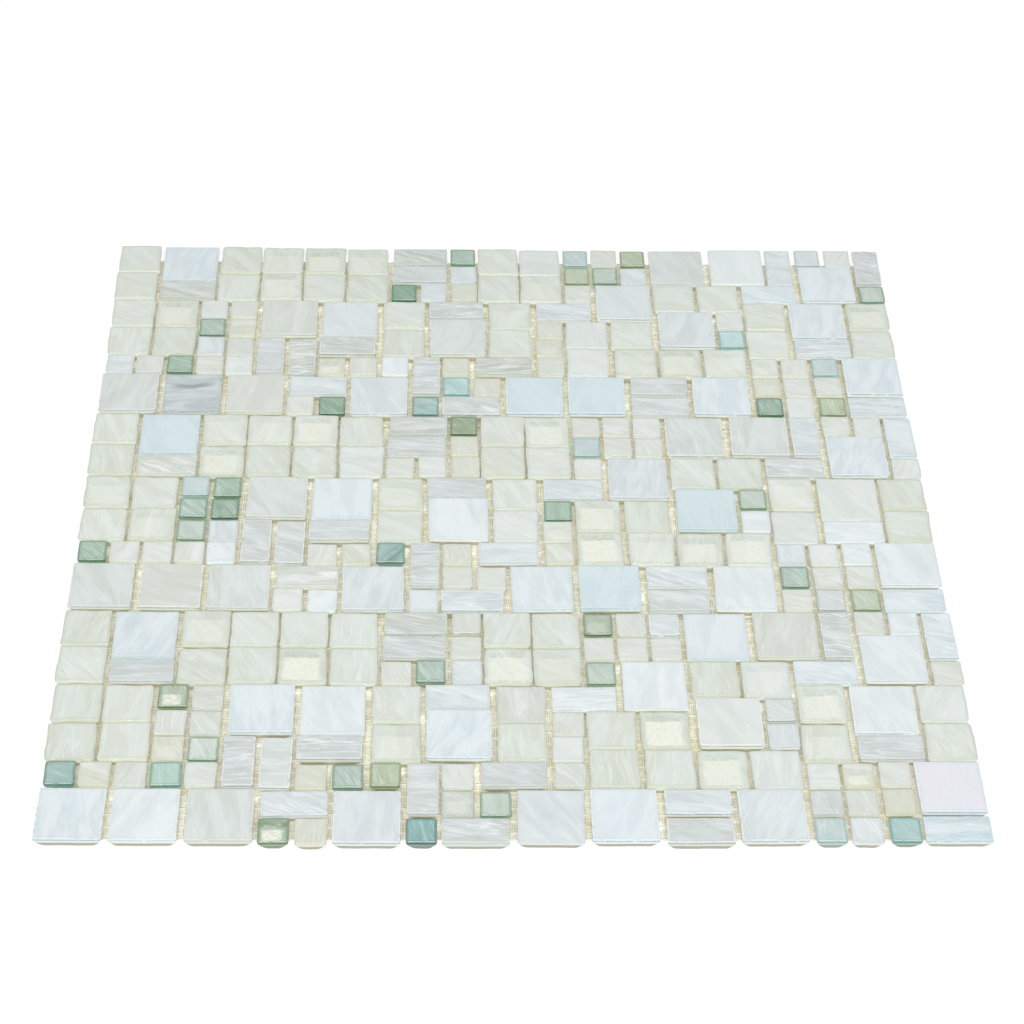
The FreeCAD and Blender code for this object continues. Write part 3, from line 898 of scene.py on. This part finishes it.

# %% [markdown]
# ## Where on the chip: rim, wall and depth
# Looking into coloured glass, the colour is deepest where the light has the longest way:
# along the rim. Under the soft top edge a thin dark line of painted shade is laid, where the
# wall mirrors the inside of the chip. This group turns the stored place on the chip into
# masks for the top face, for the rim inside its outline, for that painted shade line, for a
# painted highlight just inside the top edge and a painted glow on its side bevels, for
# painted shade on its front and rear bevels, and for the depth down the wall, the foot and
# the back.

# %% Group: chip zones
def make_chip_zones():
    tree, start, end = group(
        "chip zones", {"Place": "Vector", "Half": "Vector"},
        {"Top": "Float", "Rim": "Float", "Glint": "Float", "Front": "Float", "Shine": "Float",
         "Shoulder": "Float", "Line": "Float", "Depth": "Float", "Foot": "Float",
         "Back": "Float"})
    x, y, z = axes(tree, start["Place"])
    half_x, half_y, seed = axes(tree, start["Half"])
    shift = add(tree, "CombineXYZ", {0: seed, 1: seed, 2: seed}).outputs[0]
    moved = add(tree, "VectorMath", {0: start["Place"], 1: shift}, operation="ADD").outputs[0]
    uneven = add(tree, "TexNoise", {"Vector": moved, "Scale": 0.45, "Detail": 2.0}).outputs[0]
    side = maths(tree, "SUBTRACT", half_x, maths(tree, "ABSOLUTE", x))
    end_on = maths(tree, "SUBTRACT", half_y, maths(tree, "ABSOLUTE", y))
    inward = maths(tree, "MINIMUM", side, end_on)
    down = maths(tree, "SUBTRACT", CHIP_HEIGHT, z)
    wavy = maths(tree, "ADD", inward, maths(tree, "MULTIPLY", uneven, -0.8))
    # The bevel round the top edge: painted darker on the front and rear as painted shade, and glowing on
    # the sides as a painted highlight
    bevel = product(tree, ramp(tree, down, 0.0, 0.05), ramp(tree, down, 0.34, 0.24))
    sideways = ramp(tree, maths(tree, "SUBTRACT", end_on, side), -0.05, 0.2)
    broken = ramp(tree, uneven, 0.3, 0.5)
    # A broken band just inside the top edge, where the material paints a highlight
    outline = product(tree, ramp(tree, inward, 0.75, 0.45), broken, ramp(tree, down, 0.34, 0.24))
    lengthways = maths(tree, "SUBTRACT", 1.0, sideways)
    shoulder = product(tree, bevel, lengthways)
    return finish_group(tree, end, {
        "Top": ramp(tree, down, 0.34, 0.26),
        "Rim": ramp(tree, wavy, 0.8, -0.1),
        "Glint": product(tree, outline, maths(tree, "SUBTRACT", 1.0, shoulder)),
        "Front": product(tree, lengthways, ramp(tree, y, 0.0, -1.0)),
        "Shine": product(tree, bevel, sideways, broken),
        "Shoulder": shoulder,
        # A thin band just under the top edge, where the material paints a shade line
        "Line": product(tree, ramp(tree, down, 0.85, 0.65), ramp(tree, down, 0.26, 0.34),
                        ramp(tree, uneven, 0.25, 0.5)),
        "Depth": ramp(tree, down, 0.7, 2.4),
        "Foot": ramp(tree, down, 1.8, 2.3),
        "Back": ramp(tree, z, 0.2, 0.02),
    })


CHIP_ZONES = make_chip_zones()
print("made the group:", CHIP_ZONES.name)

# %% [markdown]
# ## Streaks and marbling in the glass
# Pearl glass is stirred, not mixed, so paler glass runs through it in fine streaks, broad
# clouds and now and then a fold with one sharp side. Noise that is stretched along one way
# gives all three. Each chip turns the pattern by its own angle and starts at its own seed.

# %% Group: glass streaks
def make_glass_streaks():
    tree, start, end = group(
        "glass streaks",
        {"Place": "Vector", "Half": "Vector", "Angle": "Float", "Stain": "Vector"},
        {"Streak": "Float", "Vein": "Float", "Cloud": "Float", "Fold": "Float",
         "Grain": "Float", "Stain": "Float"})
    seed = axes(tree, start["Half"])[2]
    shift = add(tree, "CombineXYZ", {0: product(tree, seed, 3.1), 1: product(tree, seed, 5.7),
                                     2: seed}).outputs[0]
    turned = add(tree, "VectorRotate", {"Vector": start["Place"], "Angle": start["Angle"]},
                 rotation_type="Z_AXIS").outputs[0]
    moved = add(tree, "VectorMath", {0: turned, 1: shift}, operation="ADD").outputs[0]
    long_grain = add(tree, "VectorMath", {0: moved, 1: (0.07, 0.55, 0.2)},
                     operation="MULTIPLY").outputs[0]
    broad = add(tree, "VectorMath", {0: moved, 1: (0.06, 0.2, 0.1)}, operation="MULTIPLY").outputs[0]
    fine = add(tree, "TexNoise", {"Vector": long_grain, "Scale": 1.0, "Detail": 5.0,
                                  "Roughness": 0.62, "Distortion": 1.4}).outputs[0]
    cloudy = add(tree, "TexNoise", {"Vector": broad, "Scale": 1.0, "Detail": 2.0,
                                    "Distortion": 0.8}).outputs[0]
    bend = add(tree, "TexNoise", {"Vector": moved, "Scale": 0.12, "Detail": 1.0}).outputs[0]
    start_line = maths(tree, "SINE", product(tree, seed, 9.7))
    from_line = maths(tree, "ADD", axes(tree, turned)[1],
                      maths(tree, "ADD", product(tree, start_line, 2.2), product(tree, bend, 2.4)))
    from_stain = add(tree, "VectorMath", {0: turned, 1: start["Stain"]},
                     operation="SUBTRACT").outputs[0]
    off_x, off_y, _ = axes(tree, from_stain)
    frayed = maths(tree, "ADD", off_y, product(tree, maths(tree, "SUBTRACT", cloudy, 0.5), 7.0))
    frayed = maths(tree, "ADD", frayed, product(tree, maths(tree, "SUBTRACT", fine, 0.5), 4.0))
    across = ramp(tree, maths(tree, "ABSOLUTE", frayed), 3.0, 0.2)
    along = ramp(tree, maths(tree, "ABSOLUTE", off_x), 9.5, 3.0)
    return finish_group(tree, end, {
        "Stain": product(tree, across, along, axes(tree, start["Stain"])[2]),
        "Streak": ramp(tree, fine, 0.50, 0.66),
        "Vein": ramp(tree, fine, 0.48, 0.34),
        "Cloud": ramp(tree, cloudy, 0.38, 0.62),
        "Fold": product(tree, ramp(tree, from_line, 0.9, 1.1), ramp(tree, from_line, 6.5, 1.1)),
        "Grain": fine,
    })


GLASS_STREAKS = make_glass_streaks()
print("made the group:", GLASS_STREAKS.name)

# %% [markdown]
# ## The glue seen through clear glass
# A clear chip shows its own back: the flat part that sits in cream glue looks like a small
# window, and the sloping foot behind it looks like a grey green band. Light bends as it
# enters the glass, so both seem to lie nearer to the front edge than they do. The group
# gives a mask for the window and one for the band.

# %% Group: glue window
def make_glue_window():
    tree, start, end = group(
        "glue window", {"Place": "Vector", "Half": "Vector"},
        {"Window": "Float", "Band": "Float", "Mottle": "Float"})
    seed = axes(tree, start["Half"])[2]
    shift = add(tree, "CombineXYZ", {0: seed, 1: seed, 2: seed}).outputs[0]
    moved = add(tree, "VectorMath", {0: start["Place"], 1: shift}, operation="ADD").outputs[0]
    mottle = add(tree, "TexNoise", {"Vector": moved, "Scale": 0.9, "Detail": 4.0,
                                    "Roughness": 0.7}).outputs[0]
    wobble = add(tree, "TexNoise", {"Vector": moved, "Scale": 0.35, "Detail": 2.0}).outputs["Color"]
    nudge = add(tree, "VectorMath", {0: wobble, 1: (-0.5, -0.5, -0.5)}, operation="ADD").outputs[0]
    bent = add(tree, "VectorMath", {0: nudge, 1: (1.4, 1.4, 0.0), 2: start["Place"]},
               operation="MULTIPLY_ADD").outputs[0]
    x, y, z = axes(tree, bent)
    half_x, half_y, seed = axes(tree, start["Half"])
    from_left = maths(tree, "ADD", half_x, x)
    from_right = maths(tree, "SUBTRACT", half_x, x)
    from_front = maths(tree, "ADD", half_y, y)
    from_rear = maths(tree, "SUBTRACT", half_y, y)
    across = product(tree, ramp(tree, from_left, 0.8, 2.2), ramp(tree, from_right, 1.5, 3.1))
    start_rear = product(tree, maths(tree, "FRACT", product(tree, seed, 13.7)), 1.6)
    behind = maths(tree, "SUBTRACT", from_rear, start_rear)
    return finish_group(tree, end, {
        "Window": product(tree, across, ramp(tree, from_front, 0.3, 1.3),
                          ramp(tree, behind, 3.4, 4.3)),
        "Band": product(tree, across, ramp(tree, behind, 0.4, 1.5),
                        ramp(tree, behind, 4.2, 3.5)),
        "Mottle": ramp(tree, mottle, 0.42, 0.62),
    })


GLUE_WINDOW = make_glue_window()
print("made the group:", GLUE_WINDOW.name)

# %% [markdown]
# ## Pits and seeds
# Cheap pressed glass has small open bubbles and specks of mould dust on it. Only few cells
# of a Voronoi pattern get one, chosen by the cell's own random colour.

# %% Group: glass pits
def make_glass_pits():
    tree, start, end = group("glass pits", {"Place": "Vector", "Half": "Vector"}, {"Pit": "Float"})
    seed = axes(tree, start["Half"])[2]
    shift = add(tree, "CombineXYZ", {0: product(tree, seed, 7.3), 1: seed, 2: 0.0}).outputs[0]
    moved = add(tree, "VectorMath", {0: start["Place"], 1: shift}, operation="ADD").outputs[0]
    cells = add(tree, "TexVoronoi", {"Vector": moved, "Scale": 0.55})
    spot = ramp(tree, cells.outputs["Distance"], 0.16, 0.07)
    chosen = ramp(tree, axes(tree, cells.outputs["Color"])[0], 0.972, 0.98)
    return finish_group(tree, end, {"Pit": product(tree, spot, chosen)})


GLASS_PITS = make_glass_pits()
print("made the group:", GLASS_PITS.name)

# %% [markdown]
# ## The glass itself
# Every glass of the sheet is the same stuff with other colours, so one function builds each
# material from the groups. The body colour comes from the chip, the marks are laid over it,
# and the rim and the wall take the deeper edge colour. A painted highlight runs just inside
# the top edge; a thin dark line under it and the front and rear bevels are painted shade, and
# the darker tan foot is painted shade with a painted reflection of the glue. Light that enters
# the top of a glass chip leaves again through its walls, so the walls get a weak glow of their
# own colour, and the side bevels glow white as a painted highlight.

# %% Make the glass materials
STREAK_WHITE = (*linear((236, 241, 241)), 1.0)
# White of the painted highlights just inside the top edges
GLINT_WHITE = (*linear((243, 247, 247)), 1.0)
GLUE_CREAM = (*linear((238, 240, 225)), 1.0)
GLUE_TAN = (*linear((226, 218, 190)), 1.0)
# Darker tan of the chip's foot: painted shade with a painted reflection of the glue
FOOT_SHADE_TAN = (*linear((190, 187, 164)), 1.0)
BAND_GREY = (*linear((186, 198, 184)), 1.0)
PIT_DARK = (*linear((120, 122, 112)), 1.0)
PEARL_PINK = (*linear((243, 233, 237)), 1.0)
BLACK = (0.0, 0.0, 0.0, 1.0)


def stored(tree, name):
    """Return an attribute node for a value stored with the points."""
    return add(tree, "Attribute", attribute_name=name)


def glass_material(name, rim_strength, wall_depth, outline, cloud_share, roughness, brushed,
                   wall_glue):
    """Build one glass: depth of rim and wall, strength of the painted highlight outline, clouds,
    roughness, brush marks, glue.
    """
    material = bpy.data.materials.new(name)
    material.use_nodes = True
    material.cycles.emission_sampling = "NONE"
    tree = material.node_tree
    tree.nodes.clear()
    place = stored(tree, "chip_place").outputs["Vector"]
    half = stored(tree, "chip_half").outputs["Vector"]
    streak_share, window_share, shade_line_and_glint_share = axes(tree, stored(tree, "chip_marks").outputs["Vector"])
    angle, fold_share, pearl_share = axes(tree, stored(tree, "chip_runs").outputs["Vector"])
    body = stored(tree, "glass_body").outputs["Color"]
    edge = stored(tree, "glass_edge").outputs["Color"]
    zones = use(tree, CHIP_ZONES, {"Place": place, "Half": half})
    runs = use(tree, GLASS_STREAKS, {"Place": place, "Half": half, "Angle": angle,
                                     "Stain": stored(tree, "chip_stain").outputs["Vector"]})
    glue = use(tree, GLUE_WINDOW, {"Place": place, "Half": half})
    pit = use(tree, GLASS_PITS, {"Place": place, "Half": half})["Pit"]

    face = blend(tree, product(tree, runs["Cloud"], cloud_share), body, edge)
    face = blend(tree, product(tree, runs["Streak"], streak_share), face, STREAK_WHITE)
    face = blend(tree, product(tree, runs["Vein"], streak_share, 0.7), face, edge)
    face = blend(tree, runs["Stain"], face, edge)
    face = blend(tree, product(tree, runs["Fold"], fold_share, 0.5), face, STREAK_WHITE)
    face = blend(tree, product(tree, runs["Cloud"], pearl_share, 0.5), face, PEARL_PINK)
    face = blend(tree, product(tree, zones["Rim"], rim_strength), face, edge)
    band = product(tree, glue["Band"], window_share, maths(tree, "ADD", glue["Mottle"], 0.2), 0.7)
    face = blend(tree, band, face, BAND_GREY)
    window = product(tree, glue["Window"], window_share,
                     ramp(tree, glue["Mottle"], 0.0, 1.0, 0.95, 0.55))
    face = blend(tree, window, face, GLUE_CREAM)
    face = blend(tree, product(tree, pit, 0.45), face, PIT_DARK)
    # Painted shade: the front and rear bevels of chips without a strong highlight take the darker edge
    # colour
    shoulder_shade_share = maths(tree, "SUBTRACT", 1.0, shade_line_and_glint_share)
    face = blend(tree, product(tree, zones["Shoulder"], shoulder_shade_share, 0.9), face, edge)
    # Painted highlight: a white outline just inside the top edge, strongest along the front
    glint_strength = maths(tree, "MAXIMUM", product(tree, zones["Front"], 0.6), outline)
    face = blend(tree, product(tree, zones["Glint"], shade_line_and_glint_share, glint_strength), face, GLINT_WHITE)

    wall = blend(tree, wall_depth, body, edge)
    # The foot takes a darker tan, as painted shade with a painted reflection of the glue
    foot = blend(tree, wall_depth / 2, FOOT_SHADE_TAN, edge)
    wall = blend(tree, product(tree, zones["Depth"], wall_glue), wall, GLUE_TAN)
    # Painted shade: a thin dark line just under the top edge, the wall colour times a dark grey
    wall = blend(tree, product(tree, zones["Line"], shade_line_and_glint_share, 0.75), wall,
                 blend(tree, 1.0, edge, (0.36, 0.40, 0.42, 1.0), "MULTIPLY"))
    lit_wall = blend(tree, ramp(tree, zones["Foot"], 0.0, 1.0, 0.5, 0.85), wall, BLACK)
    wall = blend(tree, zones["Foot"], wall, foot)
    colour = blend(tree, zones["Top"], wall, face)
    colour = blend(tree, product(tree, zones["Back"], glue["Mottle"], 0.8), colour, GLUE_TAN)
    # Painted highlight: the side bevels of the top edge glow white
    side_glint_glow = blend(tree, product(tree, zones["Shine"], shade_line_and_glint_share, outline), BLACK, GLINT_WHITE)
    wall_glow_and_side_glint = blend(tree, zones["Top"], lit_wall, side_glint_glow)

    ripple = maths(tree, "MULTIPLY", runs["Grain"], brushed)
    relief = maths(tree, "SUBTRACT", ripple, product(tree, pit, 0.6))
    bump = add(tree, "Bump", {"Height": relief, "Strength": 0.35, "Distance": 0.0002})
    rough = ramp(tree, runs["Cloud"], 0.0, 1.0, roughness, roughness + 0.08)
    rough = maths(tree, "MAXIMUM", rough, product(tree, zones["Foot"], 0.85))
    shader = add(tree, "BsdfPrincipled", {
        "Base Color": colour, "Roughness": rough, "IOR": 1.5, "Normal": bump.outputs["Normal"],
        "Emission Color": wall_glow_and_side_glint, "Emission Strength": WALL_AND_GLINT_GLOW})
    out = add(tree, "OutputMaterial")
    tree.links.new(shader.outputs[0], out.inputs[0])
    return material


# Strength of the painted glow: of the walls, for light through the glass, and of the painted highlight
# on the side bevels
WALL_AND_GLINT_GLOW = 0.55
GLASS_MATERIALS = {
    "pearl_glass": glass_material("pearl_glass", 0.45, 0.3, 0.45, 0.33, 0.22, 1.0, 0.6),
    "blue_glass": glass_material("blue_glass", 0.45, 0.3, 0.45, 0.2, 0.20, 0.8, 0.5),
    "pale_green_glass": glass_material("pale_green_glass", 0.5, 0.4, 0.35, 0.36, 0.12, 0.3, 0.7),
    "white_glass": glass_material("white_glass", 0.45, 0.3, 0.4, 0.32, 0.14, 0.35, 0.7),
    "cream_glass": glass_material("cream_glass", 0.5, 0.35, 0.35, 0.25, 0.12, 0.35, 0.8),
    "green_glass": glass_material("green_glass", 0.8, 0.8, 0.1, 0.15, 0.08, 0.3, 0.35),
    "teal_glass": glass_material("teal_glass", 0.8, 0.8, 0.1, 0.15, 0.08, 0.3, 0.35),
}
slot_of = {part["node"]: part["material_slot"] for part in frame["record"]["subparts"]}
for node, piece in pieces.items():
    piece.data.materials.append(GLASS_MATERIALS[slot_of[node]])
print("glass materials:", len(GLASS_MATERIALS))

# %% [markdown]
# ## Yarn and glue
# The yarns are bundles of glass fibre with a cream dressing, so fine lines run along them.
# The glue is a glossy, slightly blotched skin of the same cream. Both get a weak glow of
# their own colour, which stands for the light that reaches the joints through the glass; in the
# white blobs at some crossings the glow is stronger, as painted light.

# %% Make the net materials
YARN_CREAM = (*linear((244, 246, 238)), 1.0)
YARN_SHADE = (*linear((232, 230, 212)), 1.0)
GLUE_WHITE = (*linear((252, 251, 242)), 1.0)
FILM_PALE = (*linear((238, 236, 220)), 1.0)
FILM_AMBER = (*linear((220, 210, 176)), 1.0)
FILM_SHADE = (*linear((200, 190, 160)), 1.0)
NET_GLOW = 0.11


def plain_tree(name):
    """Start a material with an empty node tree."""
    material = bpy.data.materials.new(name)
    material.use_nodes = True
    material.cycles.emission_sampling = "NONE"
    material.node_tree.nodes.clear()
    return material, material.node_tree


def yarn_material():
    material, tree = plain_tree("net_yarn")
    place = stored(tree, "yarn_place").outputs["Vector"]
    stretched = add(tree, "VectorMath", {0: place, 1: (0.35, 9.0, 0.0)}, operation="MULTIPLY").outputs[0]
    fibres = add(tree, "TexNoise", {"Vector": stretched, "Scale": 1.0, "Detail": 3.0}).outputs[0]
    blotch = add(tree, "TexNoise", {"Vector": place, "Scale": 0.22, "Detail": 2.0}).outputs[0]
    shade = maths(tree, "ADD", product(tree, ramp(tree, fibres, 0.35, 0.65), 0.4),
                  product(tree, ramp(tree, blotch, 0.4, 0.65), 0.6))
    bump = add(tree, "Bump", {"Height": fibres, "Strength": 0.5, "Distance": 0.0002})
    white = axes(tree, place)[2]
    colour = blend(tree, white, blend(tree, shade, YARN_CREAM, YARN_SHADE), GLUE_WHITE)
    # The glow stands for light through the glass, and is stronger in the white blobs as painted light
    shader = add(tree, "BsdfPrincipled", {
        "Base Color": colour, "Roughness": 0.55, "Normal": bump.outputs["Normal"],
        "Emission Color": colour, "Emission Strength": ramp(tree, white, 0.0, 1.0, NET_GLOW, 0.36)})
    out = add(tree, "OutputMaterial")
    tree.links.new(shader.outputs[0], out.inputs[0])
    return material


def film_material():
    material, tree = plain_tree("dried_glue")
    place = add(tree, "TexCoord").outputs["Object"]
    blotch = add(tree, "TexNoise", {"Vector": place, "Scale": 160.0, "Detail": 4.0,
                                    "Roughness": 0.6}).outputs[0]
    ripple = add(tree, "TexNoise", {"Vector": place, "Scale": 900.0, "Detail": 2.0}).outputs[0]
    bump = add(tree, "Bump", {"Height": ripple, "Strength": 0.4, "Distance": 0.0002})
    glue = blend(tree, ramp(tree, blotch, 0.42, 0.66), FILM_PALE, FILM_AMBER)
    blob, below, _ = axes(tree, stored(tree, "glue_marks").outputs["Vector"])
    white = product(tree, blob, maths(tree, "SUBTRACT", 1.0, below))
    glue = blend(tree, product(tree, below, 0.8), glue, FILM_SHADE)
    colour = blend(tree, white, glue, GLUE_WHITE)
    # The glow stands for light through the glass, and is stronger in the white blobs as painted light
    shader = add(tree, "BsdfPrincipled", {
        "Base Color": colour, "Roughness": ramp(tree, blotch, 0.3, 0.7, 0.3, 0.5),
        "Normal": bump.outputs["Normal"], "Emission Color": colour,
        "Emission Strength": ramp(tree, white, 0.0, 1.0, NET_GLOW, 0.36)})
    out = add(tree, "OutputMaterial")
    tree.links.new(shader.outputs[0], out.inputs[0])
    return material


yarn_finish = yarn_material()
film_finish = film_material()
for piece in net_pieces:
    piece.data.materials.append(yarn_finish)
for piece in film_pieces:
    piece.data.materials.append(film_finish)
print("net materials:", yarn_finish.name, film_finish.name)

# %% [markdown]
# ## Floor, light and camera
# The sheet lies on a white ground. The floor shows the camera a steady white with only a
# share of the real light on it, so it stays white and still keeps the soft shadow of the
# sheet. A large soft lamp stands near the camera, so that it shines into the same joints as
# the camera looks into, and a weaker one behind gives the far edges some light.

# %% Lay the floor
def floor_piece():
    material, tree = plain_tree("white_ground")
    rays = add(tree, "LightPath").outputs
    seen = maths(tree, "MAXIMUM", rays["Is Camera Ray"],
                 maths(tree, "MAXIMUM", rays["Is Glossy Ray"], rays["Is Transmission Ray"]))
    lit = add(tree, "BsdfDiffuse", {"Color": (0.50, 0.50, 0.50, 1.0)})
    shown_lit = add(tree, "BsdfDiffuse", {"Color": (0.26, 0.26, 0.26, 1.0)})
    white = add(tree, "Emission", {"Color": (1.0, 1.0, 1.0, 1.0), "Strength": 0.80})
    shown = add(tree, "AddShader")
    tree.links.new(shown_lit.outputs[0], shown.inputs[0])
    tree.links.new(white.outputs[0], shown.inputs[1])
    either = add(tree, "MixShader", {0: seen})
    tree.links.new(lit.outputs[0], either.inputs[1])
    tree.links.new(shown.outputs[0], either.inputs[2])
    out = add(tree, "OutputMaterial")
    tree.links.new(either.outputs[0], out.inputs[0])
    side = 3000.0
    corners = np.array([(-side, -side, 0), (side, -side, 0), (side, side, 0), (-side, side, 0)], float)
    floor = mesh_piece("floor", corners, np.array([[0, 1, 2, 3]]), {})
    floor.data.materials.append(material)
    return floor


floor = floor_piece()
print("floor:", tuple(round(side, 2) for side in floor.dimensions))

# %% Light the sheet
def area_lamp(name, place, size, power):
    """Aim a square soft lamp at the middle of the sheet."""
    data = bpy.data.lights.new(name, "AREA")
    data.size = size
    data.energy = power
    lamp = bpy.data.objects.new(name, data)
    lamp.location = place
    lamp.rotation_euler = (-Vector(place)).to_track_quat("-Z", "Y").to_euler()
    bpy.context.scene.collection.objects.link(lamp)
    return lamp


def studio_world():
    """Light all round with an even white that the camera and the gloss see as full white."""
    world = bpy.data.worlds.new("studio")
    bpy.context.scene.world = world
    world.use_nodes = True
    tree = world.node_tree
    tree.nodes.clear()
    rays = add(tree, "LightPath").outputs
    seen = maths(tree, "MAXIMUM", rays["Is Camera Ray"],
                 maths(tree, "MAXIMUM", rays["Is Glossy Ray"], rays["Is Transmission Ray"]))
    soft = add(tree, "Background", {"Color": (1.0, 1.0, 1.0, 1.0), "Strength": 0.3})
    white = add(tree, "Background", {"Color": (1.0, 1.0, 1.0, 1.0), "Strength": 1.0})
    either = add(tree, "MixShader", {0: seen})
    tree.links.new(soft.outputs[0], either.inputs[1])
    tree.links.new(white.outputs[0], either.inputs[2])
    out = add(tree, "OutputWorld")
    tree.links.new(either.outputs[0], out.inputs[0])
    return world


key = area_lamp("front_softbox", (-0.07, -1.75, 1.66), 1.05, 49.0)
fill = area_lamp("rear_softbox", (0.0, 0.8, 1.2), 1.0, 3.0)
world = studio_world()
print("lamps:", key.name, fill.name)

# %% [markdown]
# The camera stands in front of the sheet and a little to its left, and looks down on it with
# a long lens. Its place comes from fitting the corners of the sheet to the photograph.

# %% Set up the camera
CAMERA_PLACE = (-0.02542, -0.65841, 0.61300)
CAMERA_TURN = math.radians(-2.35)
CAMERA_RISE = math.radians(42.75)
CAMERA_ROLL = math.radians(1.85)
LENS = 89.25
SENSOR = 36.0


def photo_camera():
    """Make a camera that looks along the photograph's line of sight."""
    data = bpy.data.cameras.new("photo_camera")
    data.lens = LENS
    data.sensor_width = SENSOR
    data.clip_start = 0.01
    camera = bpy.data.objects.new("photo_camera", data)
    back = Vector((math.sin(CAMERA_TURN) * math.cos(CAMERA_RISE),
                   -math.cos(CAMERA_TURN) * math.cos(CAMERA_RISE), math.sin(CAMERA_RISE)))
    right = Vector((0, 0, 1)).cross(back).normalized()
    up = back.cross(right)
    rolled_right = math.cos(CAMERA_ROLL) * right + math.sin(CAMERA_ROLL) * up
    rolled_up = -math.sin(CAMERA_ROLL) * right + math.cos(CAMERA_ROLL) * up
    turn = Matrix((rolled_right, rolled_up, back)).transposed()
    camera.matrix_world = Matrix.Translation(CAMERA_PLACE) @ turn.to_4x4()
    bpy.context.scene.collection.objects.link(camera)
    bpy.context.scene.camera = camera
    return camera


camera = photo_camera()
bpy.context.scene.view_settings.view_transform = "Standard"
print("camera:", camera.name, "lens", LENS)
